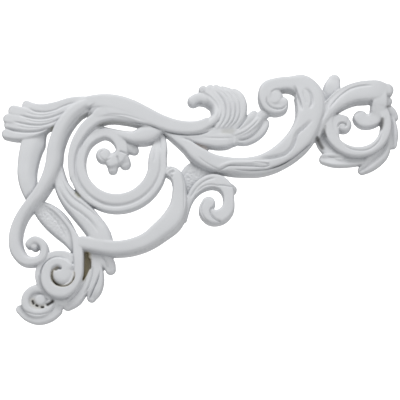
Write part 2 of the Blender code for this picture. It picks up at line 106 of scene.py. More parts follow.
# %% The sections
ACROSS = (-1.0, -0.97, -0.88, -0.72, -0.5, -0.25, 0.0, 0.25, 0.5, 0.72, 0.88, 0.97, 1.0)
SOFT = (0, 0.60, 0.83, 0.94, 0.98, 1.0, 1.0, 1.0, 0.98, 0.94, 0.83, 0.60, 0)
BROAD = (0, 0.70, 0.92, 0.985, 1.0, 1.0, 1.0, 1.0, 1.0, 0.985, 0.92, 0.70, 0)
CUP = (0, 0.70, 0.90, 0.98, 0.92, 0.84, 0.80, 0.84, 0.92, 0.98, 0.90, 0.70, 0)
CREASE = (0, 0.56, 0.80, 0.95, 1.0, 0.92, 0.74, 0.92, 1.0, 0.95, 0.80, 0.56, 0)
SLOPE_RIGHT = (0, 0.50, 0.72, 0.92, 0.985, 1.0, 1.0, 1.0, 1.0, 0.985, 0.92, 0.70, 0)
SLOPE_LEFT = SLOPE_RIGHT[::-1]
WIDE_SLOPE_LEFT = (0, 0.70, 0.92, 0.985, 1.0, 1.0, 1.0, 0.965, 0.885, 0.79, 0.69, 0.54, 0)
FALL_LEFT = (0, 0.70, 0.92, 0.985, 1.0, 1.0, 0.99, 0.93, 0.82, 0.68, 0.50, 0.32, 0)
LIP_LEFT = (0, 0.58, 0.82, 0.93, 0.98, 1.0, 0.985, 0.94, 0.87, 0.85, 0.97, 0.74, 0)
print(len(ACROSS), "places across each section")

# %% [markdown]
# ## The brush
# A stroke could be a curve with a bevel, but then its section could not change its width
# and height apart. So the brush extrudes: it lays one section down as a loop of edges,
# extrudes the loop, moves the new loop to the next station, and goes on. The ends are
# drawn in along a quarter circle, which rounds them like a thumb.

# %% Growing a stroke
strokes = []


def grow(work, edges):
    """Extrude a loop of edges, and return the new loop's vertices and edges."""
    grown = bmesh.ops.extrude_edge_only(work, edges=edges)["geom"]
    rim = [item for item in grown if isinstance(item, bmesh.types.BMVert)]
    fresh = set(rim)
    edges = [item for item in grown if isinstance(item, bmesh.types.BMEdge)
             and item.verts[0] in fresh and item.verts[1] in fresh]
    return rim, edges


def keep(work, name):
    """Close a stroke's ends, turn its faces outwards and put it with the others."""
    bmesh.ops.holes_fill(work, edges=work.edges[:], sides=0)
    bmesh.ops.recalc_face_normals(work, faces=work.faces)
    mesh = bpy.data.meshes.new(name)
    work.to_mesh(mesh)
    work.free()
    strokes.append(mesh)


def lay(rim, place, station, heading, shares):
    """Move one loop of vertices to a station, turned square to the travel."""
    x, z, half_width, height = station
    for vert in rim:
        across, share = ACROSS[vert[place]], shares[vert[place]]
        px, pz = on_pattern(x - heading.y * across * half_width, z + heading.x * across * half_width)
        depth = -share * height * RELIEF if share > 0 else ROOT
        vert.co = (px, depth, pz)


print("a full section stands", RELIEF * 1000, "mm high, with a root", ROOT * 1000, "mm behind the back")

# %% The brush
TIP_ANGLES = (22, 42, 60, 76)
TIP_DROOP = 0.3


def brush(name, knots, section=SOFT, to=None):
    """Sweep a section along a smooth line; with to=, it turns into a second section."""
    line = smooth_line(knots)
    travel = [(b - a).xy.normalized() for a, b in zip(line, line[1:])]
    headings = [travel[0]] + [(a + b).normalized() for a, b in zip(travel, travel[1:])] + [travel[-1]]
    for at_start in (True, False):
        end = line[0] if at_start else line[-1]
        heading = headings[0] if at_start else headings[-1]
        way = -heading if at_start else heading
        for degrees in TIP_ANGLES:
            angle = math.radians(degrees)
            spot = end.xy + way * end.z * math.sin(angle)
            low = end.w * (1 - TIP_DROOP * math.sin(angle) ** 3)
            point = Vector((spot.x, spot.y, end.z * math.cos(angle), low))
            line.insert(0 if at_start else len(line), point)
            headings.insert(0 if at_start else len(headings), heading)
    work = bmesh.new()
    place = work.verts.layers.int.new("place")
    rim = [work.verts.new() for _ in ACROSS]
    for index, vert in enumerate(rim):
        vert[place] = index
    edges = [work.edges.new((a, b)) for a, b in zip(rim, rim[1:] + rim[:1])]
    to = to or section
    for index, (station, heading) in enumerate(zip(line, headings)):
        if index:
            rim, edges = grow(work, edges)
        t = index / (len(line) - 1)
        shares = [a + (b - a) * t for a, b in zip(section, to)]
        lay(rim, place, station, heading, shares)
    keep(work, name)


print("the brush rounds each end in", len(TIP_ANGLES), "steps")

# %% [markdown]
# Round bosses and rings need less. A knob is one circle that is extruded ring by ring, each
# ring a little smaller and higher. An arc only hands the brush its knots.

# %% Knobs and arcs
TO_FRONT = Vector((0, -1, 0)).to_track_quat('Z', 'Y').to_matrix()


def knob(name, x, z, radius, height, flat=0.35):
    """A round boss with a domed top, grown in rings from one circle."""
    work = bmesh.new()
    px, pz = on_pattern(x, z)
    rings = [(1.0, None), (1.0, 0.46), (0.97, 0.66), (0.90, 0.84), (0.78, 0.94), (0.6, 0.985), (flat, 1.0)]
    made = bmesh.ops.create_circle(work, segments=36, radius=radius * SCALE)
    bmesh.ops.rotate(work, verts=made["verts"], matrix=TO_FRONT)
    bmesh.ops.translate(work, verts=made["verts"], vec=(px, ROOT, pz))
    edges = work.edges[:]
    for (near, _), (far, share) in zip(rings, rings[1:]):
        rim, edges = grow(work, edges)
        for vert in rim:
            vert.co.x = px + (vert.co.x - px) * far / near
            vert.co.z = pz + (vert.co.z - pz) * far / near
            vert.co.y = -share * height * RELIEF
    keep(work, name)


def arc(centre, radius, start, end, half_width, height, count):
    """Return knots along an arc; each pair runs from its first value to its second."""
    knots = []
    for index in range(count):
        t = index / (count - 1)
        angle = math.radians(start + (end - start) * t)
        reach = radius[0] + (radius[1] - radius[0]) * t
        knots.append((centre[0] + reach * math.cos(angle), centre[1] + reach * math.sin(angle),
                      half_width[0] + (half_width[1] - half_width[0]) * t,
                      height[0] + (height[1] - height[0]) * t))
    return knots


print("a test arc has", len(arc((0, 0), (10, 10), 0, 90, (1, 1), (1, 1), 5)), "knots")

# %% [markdown]
# ## The arch and its two shells
# The arch is the longest line of the piece. It runs out to the left in a shell of broad
# ribs with a plain lobe under them, and turns up at its other end into a second shell.
# Each shell has a floor, so that its ribs are shallow waves and not separate fingers.

# %% The left shell
brush("shell_palm", (
    (84, 222, 8, .83), (64, 213.8, 10.4, .81), (44, 209.4, 11.6, .76), (28, 210.6, 12, .7),
    (17, 212, 8.6, .63)), BROAD)
brush("shell_rib_1", (
    (92, 228, 4.5, .86), (72, 227, 5, .84), (55, 222.2, 4.9, .81), (42, 220.2, 4.9, .78),
    (32, 221.6, 5.1, .74), (26, 224.8, 4.8, .66)), BROAD)
brush("shell_rib_2", (
    (84, 224, 4.5, .86), (66, 219, 4.8, .84), (52, 214.8, 4.9, .81), (40, 213.4, 5, .77),
    (27, 215.4, 5.6, .73), (13.2, 218.6, 6.1, .65)), BROAD)
brush("shell_rib_3", (
    (76, 218, 4, .84), (60, 211.5, 4.4, .82), (48, 207.6, 4.5, .78), (36, 206.6, 4.8, .75),
    (22, 208, 5.4, .71), (7.6, 210.2, 5.5, .62)), BROAD)
brush("shell_rib_4", (
    (66, 212, 4, .82), (56, 206, 4.2, .8), (46, 202, 4.3, .76), (34, 200.6, 4.5, .73),
    (20, 201.6, 4.9, .69), (8.4, 204, 5.1, .59)), BROAD)
brush("shell_lobe", (
    (52, 204.6, 2.5, .66), (44, 198.6, 3.6, .7), (31, 193.9, 5, .7), (17, 192.9, 5.5, .66),
    (6.4, 194.8, 5.4, .56)), BROAD)
print(len(strokes), "strokes so far")

# %% The arch
brush("arch_stem", (
    (70, 223, 4, .82), (82, 225, 6, .88), (93, 226.4, 7.4, .95), (104, 226.4, 8.6, 1),
    (117, 224.6, 9.5, 1), (131, 220, 9.8, 1), (146, 212.9, 9.3, .98), (161, 205.9, 8.4, .96),
    (176, 201, 7.8, .94), (190, 199.4, 7.2, .93), (202, 200.9, 6.8, .92), (209, 204.4, 6, .9)), BROAD)
brush("shell_stem", (
    (197, 200.4, 5.6, .88), (205, 202.4, 6, .9), (213.2, 207, 5.8, .89), (219, 214.5, 5.5, .84),
    (219.8, 223, 5.8, .75), (214.8, 232, 6.2, .66), (207, 239, 5.8, .57)), FALL_LEFT)
brush("arch_apron", (
    (93, 207.4, 3, .88), (99, 213, 5.6, .94), (108, 217.2, 7.6, .985), (120, 216.8, 8, .99),
    (134, 212.4, 7.2, .985), (147, 206.4, 5.4, .96), (157, 202, 3.2, .9)), BROAD)
print(len(strokes), "strokes so far")

# %% The middle shell
brush("fan_palm", (
    (217, 212, 4.6, .82), (218.6, 223, 7.6, .74), (213, 232, 9.4, .66),
    (206.6, 237.4, 6.8, .57)), FALL_LEFT)
brush("fan_floor", (
    (226, 203, 6, .68), (235, 211, 8, .73), (238, 221, 9, .73), (234, 230, 10, .68),
    (226, 235, 10, .6)), BROAD)
for number, knots in enumerate((
        ((219, 200, 3.4, .79), (224.6, 207, 3.4, .82), (226.4, 216.5, 3.6, .81), (224.6, 226, 4, .77),
         (219, 235, 4.6, .69), (212.4, 242.2, 4.6, .6)),
        ((223.6, 200.6, 3, .78), (229.4, 207.6, 3, .82), (231.4, 217, 3.2, .83), (229.8, 227, 3.5, .8),
         (225.2, 235.8, 4.2, .74), (218.4, 242.4, 4.2, .63)),
        ((227.6, 201, 3, .76), (233.8, 208.2, 3, .79), (236, 217.6, 3.1, .8), (234.6, 227.6, 3.5, .78),
         (230.4, 235.6, 4.2, .71), (224.6, 241, 4.2, .6)),
        ((231.4, 201, 3, .72), (238.2, 208.6, 3.1, .75), (240.8, 218.2, 3.2, .76), (239.4, 228, 3.6, .74),
         (235.6, 235.2, 4.2, .67), (230.6, 239.8, 4.2, .57)),
        ((235, 201, 3.2, .68), (242.8, 209, 3.7, .71), (246, 218.5, 3.9, .72), (245.2, 228, 4.2, .7),
         (241.8, 234.6, 4.4, .64), (237.2, 238.4, 4.4, .54)))):
    brush(f"fan_rib_{number + 1}", knots)
brush("fan_curl", (
    (214, 227, 4.8, .58), (207, 230.6, 6.1, .56), (199.8, 231.8, 6.3, .56),
    (194.9, 229.4, 6, .55)), FALL_LEFT, to=SOFT)
knob("fan_bead", 205, 241, 4.7, .58)
brush("shell_floor", (
    (174, 194.4, 2.6, .76), (192, 191.4, 4, .8), (208, 193, 5.4, .79), (222, 196, 6, .74),
    (236, 196, 5, .64)), BROAD)
print(len(strokes), "strokes so far")

# %% [markdown]
# ## The crossing stems at the left
# Two stems drop from the arch. The inner one crosses over the outer one and winds into a
# small hook. Its top is flat, with a wide slope towards the ring. The outer one is lower
# and has a soft ridge.

# %% The crossing stems
brush("inner_left_stem", (
    (93, 226, 5, .92), (82, 220.5, 7, .95), (72.5, 212.8, 8, .96), (65.3, 203, 8.3, .96),
    (59.8, 191, 8.4, .96), (56.4, 178, 8.4, .96), (55.3, 165, 8.4, .95), (52, 152, 7.9, .95),
    (47.1, 141, 7.2, .95), (41.2, 131, 6.8, .94), (33.2, 121, 6.3, .92), (25.6, 110, 6.1, .9),
    (20.5, 97.5, 6.4, .9), (18.8, 85, 6.7, .9), (21.6, 72.9, 6.8, .88), (30.2, 64.6, 5.9, .86),
    (38.9, 64.1, 5, .85), (45.6, 67.7, 4.7, .85), (47.7, 75, 4.4, .85), (44.6, 82.1, 4.4, .85),
    (37.8, 84.6, 4.4, .83), (32.8, 80.8, 4.2, .78)), WIDE_SLOPE_LEFT, to=SLOPE_LEFT)
knob("hook_eye", 38, 79, 4.4, .76)
brush("outer_left_stem", (
    (41, 198, 6.6, .52), (34.8, 188.6, 12, .62), (30.8, 176, 11.4, .68), (28.8, 164, 10.5, .71),
    (28.2, 152, 9.7, .74), (30.4, 140, 8.9, .72), (35.2, 129, 8.2, .64)), WIDE_SLOPE_LEFT)
print(len(strokes), "strokes so far")

# %% [markdown]
# ## The husk and the great volute
# Below the crossing a rough husk opens, with a raised rim on its right. The rim grows into
# the band of the great volute, which winds inwards to a broad flat eye. A lower turn lies
# outside it, and a narrow deep line runs round the eye.

# %% The husk and the great volute
brush("husk_blade", (
    (38, 124, 5, .5), (43.6, 117.6, 9.2, .5), (49.4, 112.6, 11.2, .52), (56.4, 106.4, 12.2, .55),
    (66.4, 95.4, 10.8, .6), (73, 86.6, 8.2, .64), (77.4, 77, 5, .66)))
knob("great_volute_floor", 63.2, 50.6, 23.4, .4)
brush("great_volute_outer", arc((63.2, 50.6), (19.9, 19.8), 48, 262, (4.5, 4.5), (.76, .66), 12), BROAD)
brush("great_volute_band", (
    (46.4, 122.2, 1.2, .54), (56.6, 115.8, 1.5, .6), (66.8, 105.8, 2, .65), (75.6, 93.8, 2.8, .71),
    (79.8, 83, 4.5, .78), (81.7, 72, 5.4, .83), (82.2, 61, 5.2, .86), (81.7, 50, 5.3, .87),
    (77.2, 40.4, 5.9, .87), (68.4, 33.6, 6.5, .87), (58.6, 34.4, 6.3, .87), (52, 41.2, 5.8, .87),
    (50.6, 51, 5.3, .87), (53.8, 59.2, 4.8, .88), (60.4, 63.1, 4.5, .89), (67.4, 61.6, 4.8, .9),
    (72.6, 57, 5.6, .91)), BROAD)
knob("great_volute_eye", 67.2, 50.7, 11.4, .9, flat=0.5)
brush("strap", (
    (58.5, 163, 5, .54), (61, 151, 6, .62), (64, 139.5, 7.9, .7), (72, 127, 9.8, .76),
    (83, 115, 11, .8), (93, 103.5, 11.4, .83), (101.3, 92, 11.6, .86), (105.5, 81, 11, .86)))
print(len(strokes), "strokes so far")

# %% [markdown]
# ## The ring and the leaf inside it
# The ring is two bands side by side. The outer one runs up into the apron of the arch.
# The inner one leaves the ring at the top, curls down as a broad leaf and ends in a flat
# knob with three lobes. A smooth tongue closes the ring at the right.

# %% The ring
RING = (119, 164.3)
brush("ring_bead", [(163.4, 194.6, 2.2, .52), (165.2, 186, 3.2, .64), (165.8, 177, 3.4, .72)]
      + arc(RING, (46.8, 48.9), 8, -90, (3.3, 2.5), (.74, .77), 8)
      + arc(RING, (48.9, 46.1), -102, -176, (2.4, 3), (.77, .84), 7), BROAD)
brush("slit_floor", (
    (89.2, 212.4, 1.8, .62), (92, 215.6, 3.4, .8), (95.8, 218.8, 4.2, .9), (99, 221, 4, .94)))
brush("ring_outer_band", (
    (74.4, 149, 3.2, .84), (73, 165, 4, .85), (75.2, 179, 4.7, .86), (80.6, 191, 5.6, .87),
    (88.6, 202, 6.2, .89), (99.4, 210, 6.6, .92), (112, 213.2, 7, .93), (126, 211.6, 6.6, .93),
    (139, 207.8, 5.4, .92), (152, 203, 4, .88)), BROAD)
brush("ring_floor", arc(RING, (42, 44.6), 10, -90, (6, 5), (.73, .71), 7)
      + arc(RING, (44.6, 41.5), -105, -236, (5, 6), (.7, .7), 8), BROAD)
brush("ring_inner_band",
      [(161.4, 191, 2, .46), (159.2, 184, 4.4, .6), (157.2, 174, 6.2, .76)]
      + arc(RING, (37.5, 38.4), 4, -90, (6.7, 6.3), (.81, .8), 7)
      + arc(RING, (38.4, 35.9), -104, -214, (6.2, 4.3), (.8, .74), 8)
      + [(98, 192, 4.8, .69), (106, 195.1, 5.4, .67), (114, 193, 6, .66), (120.8, 186.4, 6.5, .65),
         (123.6, 177.4, 6.6, .64), (120, 169.4, 6.6, .62), (112.5, 165.4, 6, .6)], BROAD)
print(len(strokes), "strokes so far")

# %% The leaf in the ring
knob("ring_curl_knob", 104.7, 172.4, 7.9, .62)
brush("ring_lobe_1", ((115, 171, 4.8, .58), (114, 163.4, 6, .56), (114, 158.4, 5, .48)))
brush("ring_lobe_2", ((120, 174, 5, .58), (125.6, 167.4, 6.1, .56), (126.6, 164.2, 5.8, .48)))
brush("ring_lobe_3", ((123, 183, 4.6, .56), (131, 180.2, 5.1, .53), (135.4, 178.6, 4.9, .44)))
brush("tongue", (
    (100.5, 199.5, 4.2, .52), (113, 196.6, 3.8, .62), (124, 193.2, 5, .7), (135, 190.5, 7, .8),
    (146, 192.8, 9.8, .86), (155, 195.2, 8.6, .86), (162.4, 197.6, 4, .82)))
print(len(strokes), "strokes so far")

# %% [markdown]
# ## The main stem and the upper volute
# The S-shaped stem is the heaviest form. It leaves the fork thin, swells to the right,
# hollows out in its throat and winds over into a volute. A narrow leaf is folded over its
# top, and a second one lies along its lower side.

# %% The main stem
brush("main_stem", (
    (166, 196.3, 2, .74), (176.5, 190, 4.4, .8), (188.7, 181.2, 6.5, .83), (200.5, 171.2, 9, .85),
    (214, 164.2, 9.4, .84), (230, 161, 8.9, .87), (247, 160.2, 9, .9), (263.3, 162.2, 10, .92),
    (278.6, 168.2, 11.4, .94), (293, 178.4, 12.8, .95), (304.5, 191.6, 13.8, .96),
    (311.5, 206.5, 14.2, .96), (314.4, 221, 15.5, .95), (312.6, 234.2, 15.2, .93),
    (305, 244.4, 12.4, .9), (293.5, 246.6, 8, .85), (281.4, 245.6, 7.6, .84), (270.6, 240.8, 8.5, .84),
    (267.9, 231.4, 7, .82), (271.4, 222.8, 6.4, .78), (279, 219.8, 6, .74), (285.4, 222.4, 6, .75),
    (286, 227, 5.8, .78)), SLOPE_RIGHT, to=BROAD)
knob("upper_volute_eye", 277.2, 231.6, 9.8, .8, flat=0.6)
brush("volute_fill", ((270, 238.4, 3.6, .79), (276, 239.8, 3.4, .79), (281.4, 238.4, 2.8, .78)), BROAD)
brush("stem_fold", (
    (221, 158.6, 2.4, .86), (232, 162.2, 2.5, .93), (246, 162.6, 2.3, .96), (260, 162.7, 2.1, .98),
    (270, 162.6, 1.5, .97)))
brush("stem_lower_leaf", (
    (216, 158.8, 2.4, .66), (230, 155.2, 3.2, .76), (247, 153.9, 3.4, .8), (263.3, 154.6, 3.5, .82),
    (278, 158.9, 3.5, .82), (292, 166.6, 3.4, .82), (305, 176.6, 3, .82), (315, 186.4, 2.2, .8)))
print(len(strokes), "strokes so far")

# %% [markdown]
# ## The leaves between the stem and the shell
# A folded leaf lies in the fork, and a ribbed leaf fans out beside it. Its last rib
# touches the upper volute and holds it.

# %% The leaves under the shell
brush("fork_leaf", (
    (184, 190.4, 2.2, .76), (196, 188.8, 4.6, .78), (209, 187.4, 6.6, .79), (221, 187, 8, .77),
    (231, 187.6, 7.3, .72), (235.8, 187.6, 5, .62)), BROAD)
brush("fork_floor", ((190, 186, 3, .66), (200, 181.5, 3.6, .62), (208, 179.2, 2.6, .54)))
brush("leaf_floor", (
    (234, 195, 6, .58), (246, 197, 9, .6), (255, 205, 9, .58), (260, 210.6, 5, .5)), BROAD)
brush("leaf_low", (
    (236, 189.8, 4.4, .6), (247, 189, 5.4, .5), (257, 193.4, 5.8, .5), (264.4, 200.2, 5.6, .48),
    (267.8, 206.2, 5, .44)), BROAD)
brush("leaf_middle", (
    (234, 194, 3.8, .62), (244.6, 195.8, 4.2, .66), (253, 200.8, 4.4, .68), (259.4, 207, 4.5, .65),
    (263, 212, 4.3, .56)))
brush("leaf_high", (
    (232, 197, 3.6, .63), (241, 200.4, 4, .67), (248.4, 206, 4.6, .69), (253.8, 211.8, 4.7, .66),
    (256.6, 215.2, 4.4, .56)))
brush("volute_link", ((259, 208, 4.8, .54), (265.5, 215, 5.2, .6), (271, 219, 4.6, .6)))
brush("bud", ((334, 231, 8, .5), (335.8, 239, 9, .58), (337.4, 246, 8.6, .6), (339, 251, 6.8, .54)))
print(len(strokes), "strokes so far")

# %% [markdown]
# ## The roundel at the right
# An arch rises from the stem and rolls over into a large curl. A ring runs round under
# it and ends at the left in a small curl. Low leaves lie around the outside.

# %% The roundel
brush("roundel_arch", (
    (321, 193, 3.6, .7), (324.6, 205, 5.4, .8), (331.6, 217.6, 7.8, .86), (343.4, 229, 9.6, .88),
    (358.5, 236.4, 10.9, .88), (373.5, 238.6, 11.6, .88), (385.6, 239.6, 10.2, .84),
    (392.4, 240.2, 6.8, .74)), LIP_LEFT, to=BROAD)
brush("arch_lobe", ((380, 232, 5.2, .7), (388.5, 230.6, 5, .66), (393.8, 229.2, 4.2, .54)))
brush("arch_curl", (
    (386, 235, 6.4, .82), (384.4, 227, 8.4, .82), (383.2, 220, 8.2, .75), (381.2, 213, 7.9, .66),
    (374, 208.4, 7.5, .6), (367, 209, 7.7, .58), (365, 211.6, 7.8, .58)), BROAD)
brush("roundel_ring", arc((361, 204.8), (29.8, 29.4), 166, 388, (5.7, 5.3), (.74, .72), 18), BROAD)
brush("roundel_heel", (
    (323, 197, 5, .36), (327.2, 186.4, 7.4, .3), (334.8, 178.4, 8.2, .4), (344, 172, 6.2, .48)))
brush("small_curl", (
    (340, 187, 4, .66), (336.6, 194, 6.6, .7), (336.8, 203, 6.7, .7), (342, 208.8, 6.1, .68),
    (348, 208.4, 5.4, .66)), BROAD)
knob("small_curl_knob", 347.6, 204.3, 8.3, .62)
brush("left_leaf", (
    (371, 171, 6, .4), (354, 168.2, 6.8, .44), (336, 168.2, 6.9, .48), (328, 169.4, 5.6, .42)), CUP)
brush("lower_leaf", (
    (390, 188, 6, .42), (385.8, 176, 8, .46), (377.4, 168.2, 8.8, .46), (370, 161, 6.4, .42),
    (366, 158.2, 4.8, .34)), CREASE)
brush("right_leaf", (
    (393.5, 217, 3.2, .42), (396.6, 205.5, 5.2, .46), (397, 193, 6.2, .46),
    (397.4, 184.8, 4.6, .38)), CREASE)
brush("right_leaf_tip", ((391, 224.6, 3.2, .5), (396.8, 219, 4.2, .5), (400.6, 212.8, 3.4, .42)))
print(len(strokes), "strokes so far")

# %% [markdown]
# ## The lower scroll and the side volute
# A C-shaped scroll carries the ring from below. It is flat on top with a steep slope along
# its lower side. A rough web joins it to the main stem, and a leaf winds off it into a
# side volute.

# %% The lower scroll
brush("lower_scroll", (
    (86, 81.8, 7.6, .84), (98, 79.2, 7.8, .88), (116, 76.6, 7.9, .91), (134, 78.4, 8.3, .92),
    (150, 84.6, 8.9, .92), (162.8, 94.2, 10.1, .92), (174.4, 105.2, 11.2, .92), (180.6, 118.5, 9.8, .9),
    (181.6, 131.6, 7.8, .88), (180.8, 143.4, 7, .87), (177, 152.4, 6.6, .85),
    (172.6, 155, 6.2, .8)), SLOPE_RIGHT)
brush("web", (
    (188.5, 127, 3, .32), (190, 139, 4.6, .36), (194.5, 149.5, 8.6, .4), (203.5, 155, 7.6, .42),
    (216, 153.4, 5.6, .4)), BROAD)
brush("web_corner", ((186, 148, 5, .36), (190, 156, 6.2, .38), (196, 162, 5, .38)), BROAD)
print(len(strokes), "strokes so far")

# %% The side volute
brush("side_leaf", (
    (187.2, 106, 1.6, .46), (188.8, 114, 2.2, .56), (191, 123.4, 3, .62), (195.2, 133, 4.6, .66),
    (203.6, 141.4, 6.2, .7), (214.2, 145.2, 7.4, .74), (223.4, 143, 7.4, .76), (229.2, 136, 6.7, .77),
    (230.8, 126.5, 5.8, .78), (229.6, 116.6, 6.8, .79), (222.2, 109.4, 7.7, .8),
    (213.6, 108.8, 7.9, .8), (208.2, 114.6, 7.7, .8), (210.4, 122.4, 7.1, .8)), BROAD)
brush("side_leaf_tip", ((221, 143, 4.6, .58), (229.5, 140, 5.4, .58), (234.4, 137.4, 4.8, .5)))
print(len(strokes), "strokes so far")

# %% [markdown]
# ## The foot
# Three folded leaves hang under the scroll. The small volute sits at the corner with pits
# round its eye, and a crescent leaf cradles it.

# %% The foot
brush("pocket_floor", ((90, 76, 6, .12), (90, 60, 5, .12), (88, 46, 4.4, .12)), BROAD)
brush("foot_leaf_1", (
    (96, 70.5, 5.5, .52), (104, 68, 7, .56), (110.6, 63, 7, .52), (113.2, 56.8, 5.4, .44)), BROAD)
brush("foot_leaf_2", (
    (98, 67, 4.4, .54), (100, 55, 6.2, .56), (99.6, 43, 7.4, .56), (97, 34, 7, .52),
    (94.8, 28.5, 4.8, .42)), BROAD)
brush("foot_leaf_3", (
    (94.4, 54, 2.8, .54), (91.4, 44.6, 4.2, .56), (85.6, 35.6, 5.8, .56), (78.5, 26, 6.6, .54),
    (71.5, 20.4, 5, .44)), BROAD)
brush("foot_crescent", (
    (24.8, 16.6, 4.4, .46), (31.5, 11.2, 5.4, .5), (43, 7.8, 6.2, .52), (54.5, 10.6, 5.8, .5),
    (61.5, 15.4, 4.8, .46)), BROAD)
knob("small_volute_plate", 47, 23.4, 17.4, .5)
brush("small_volute", arc((42.6, 24.6), (12.8, 12), -10, -334, (4.6, 4.4), (.62, .66), 14), SOFT)
knob("small_volute_eye", 45.2, 25.6, 6.2, .6)
brush("wave_floor", ((57, 22, 3.4, .42), (65.2, 19.8, 2.8, .42)), BROAD)
brush("wave_leaf", (
    (46, 37.6, 3.6, .5), (53.4, 30.6, 4.4, .52), (61.4, 26, 4.8, .5), (69, 24.6, 5.4, .46)))
print(len(strokes), "strokes in all")

# %% [markdown]
# ## One casting
# The strokes overlap as lumps of clay do. A boolean would join them with knife-sharp
# seams, but a moulding has none, so a voxel remesh joins them here, like pressing the
# clay together, and a smooth pass rounds every seam a little.

# %% Join the strokes
def mesh_with(obj, *modifiers):
    """Return the mesh that an object has once the given modifiers have worked on it."""
    for kind, settings in modifiers:
        modifier = obj.modifiers.new(kind.lower(), kind)
        for key, value in settings.items():
            setattr(modifier, key, value)
    seen = obj.evaluated_get(bpy.context.evaluated_depsgraph_get())
    mesh = bpy.data.meshes.new_from_object(seen)
    obj.modifiers.clear()
    return mesh


VOXEL = 0.00062
clay = bmesh.new()
for mesh in strokes:
    clay.from_mesh(mesh)
casting_mesh = bpy.data.meshes.new("scroll_casting")
clay.to_mesh(casting_mesh)
clay.free()
casting = bpy.data.objects.new("scroll_casting", casting_mesh)
bpy.context.scene.collection.objects.link(casting)
casting.data = mesh_with(casting, ('REMESH', {"mode": 'VOXEL', "voxel_size": VOXEL}),
                         ('SMOOTH', {"factor": 0.5, "iterations": 4}))
print("joined:", len(casting.data.vertices), "vertices")

# %% [markdown]
# ## The chisel
# The fine grooves are too narrow for strokes of their own. The chisel follows a line on
# the pattern and pushes the skin back along it. Its two sides may have different widths:
# equal ones leave a groove, and a wide and a narrow one leave a fold, like overlapping
# cloth.
#
# The lines were read off the photograph, which looks up at the piece. A high crest hides
# what lies behind it and seems to stand higher than it does. So each point of the skin is
# first moved along the line of sight to one plane in the middle of the relief, and the
# chisel compares its lines with those places.

# %% The line of sight
SIGHT_LENGTH = 1300
AIM_X, AIM_Z = 202.0, 126.2
SIGHT_PLANE = 9.0
LOOK_UP = math.radians(12)
EYE_AWAY = SIGHT_LENGTH * math.cos(LOOK_UP)
EYE = np.array([AIM_X, AIM_Z - SIGHT_LENGTH * math.sin(LOOK_UP)])


def skin(mesh):
    """Return a mesh's points, its normals and the places where the photograph shows them."""
    points = np.empty(len(mesh.vertices) * 3, np.float32)
    mesh.vertices.foreach_get("co", points)
    points = points.reshape(-1, 3).astype(float)
    normals = np.empty(len(mesh.vertices) * 3, np.float32)
    mesh.vertex_normals.foreach_get("vector", normals)
    places = points[:, [0, 2]] / SCALE + (CENTRE_X, CENTRE_Z)
    nearer = -points[:, 1] / SCALE - SIGHT_PLANE
    seen = EYE + (places - EYE) * (EYE_AWAY / (EYE_AWAY - nearer))[:, None]
    return points, normals.reshape(-1, 3).astype(float), seen


points, normals, spots = skin(casting.data)
push = np.zeros(len(points))
print("the eye is", round(EYE_AWAY), "units in front of the pattern")

# %% The chisel
def track_of(line, step=2.0):
    """Return places along a smooth line through points of the pattern."""
    stations = smooth_line([(x, z, 0, 0) for x, z in line], step)
    return np.array([tuple(station) for station in stations])[:, :2]


def carve(line, left, right, depth, taper=0.2):
    """Push the front back along a line, by a depth in millimetres that fades over each side."""
    track = track_of(line)
    reach = max(left, right)
    inside = (spots > track.min(axis=0) - reach) & (spots < track.max(axis=0) + reach)
    near = np.where(inside.all(axis=1))[0]
    here = spots[near]
    best = np.full(len(near), 1e9)
    side = np.zeros(len(near))
    along = np.zeros(len(near))
    lengths = np.linalg.norm(np.diff(track, axis=0), axis=1)
    total, done = lengths.sum(), 0.0
    for a, b, length in zip(track, track[1:], lengths):
        way = (b - a) / max(length, 1e-9)
        gap = here - a
        t = np.clip(gap @ way, 0, length)
        away = np.linalg.norm(gap - t[:, None] * way, axis=1)
        closer = away < best
        best[closer] = away[closer]
        side[closer] = (way[0] * gap[:, 1] - way[1] * gap[:, 0])[closer]
        along[closer] = ((done + t) / total)[closer]
        done += length
    width = np.where(side > 0, left, right)
    fade = np.clip(1 - best / width, 0, 1)
    fade = fade * fade * (3 - 2 * fade)
    ends = np.clip(np.minimum(along, 1 - along) / max(taper, 1e-6), 0, 1) if taper else 1.0
    push[near] += fade * ends * (2 - ends) * depth * 0.001


print("a test line has", len(track_of(((0, 0), (10, 4), (20, 0)))), "places")

# %% Grooves of the shells
for line in (((27, 222), (34, 218.4), (44, 217.4), (54, 219.4), (64, 224), (76, 228)),
             ((18, 214.4), (26, 212.2), (36, 210.2), (46, 210.6), (56, 213.6), (68, 219.4)),
             ((12, 207.6), (22, 205.6), (32, 203.8), (42, 203.8), (52, 206.6), (62, 212))):
    carve(line, 1.7, 1.7, 1.1)
for line in (((24, 217.6), (34, 214.6), (44, 214.2), (56, 217.4)),
             ((24, 210), (34, 207.2), (44, 207), (54, 209.6)),
             ((16, 203), (28, 200.6), (40, 201), (50, 204.4))):
    carve(line, 1.2, 1.2, 0.5)
carve(((5, 201.4), (11, 198.8), (20, 197), (30, 196.6), (40, 198), (50, 202.6)), 2.2, 2.2, 1.8)
for line in (((221, 201), (226.4, 209), (228.4, 217), (227, 226.6), (221, 236), (216, 241)),
             ((225.4, 201), (231.4, 208.6), (233.6, 217.4), (232.2, 227), (227.6, 235.2), (222, 240.6)),
             ((229.6, 201.4), (235.8, 208.8), (238.4, 218), (237, 228), (233, 235), (227.6, 240)),
             ((233.2, 201.6), (240.4, 209.2), (243, 218.6), (242, 228.2), (238.6, 234.6), (234, 238.6))):
    carve(line, 1.3, 1.3, 0.9)
carve(((203, 243), (206.6, 238), (213, 233.4), (219, 226), (221.4, 216), (218.6, 208)), 1.4, 3, 0.7)
carve(((196.6, 223.6), (199.4, 226.2), (203, 227)), 2, 2, 2.2, taper=0.0)
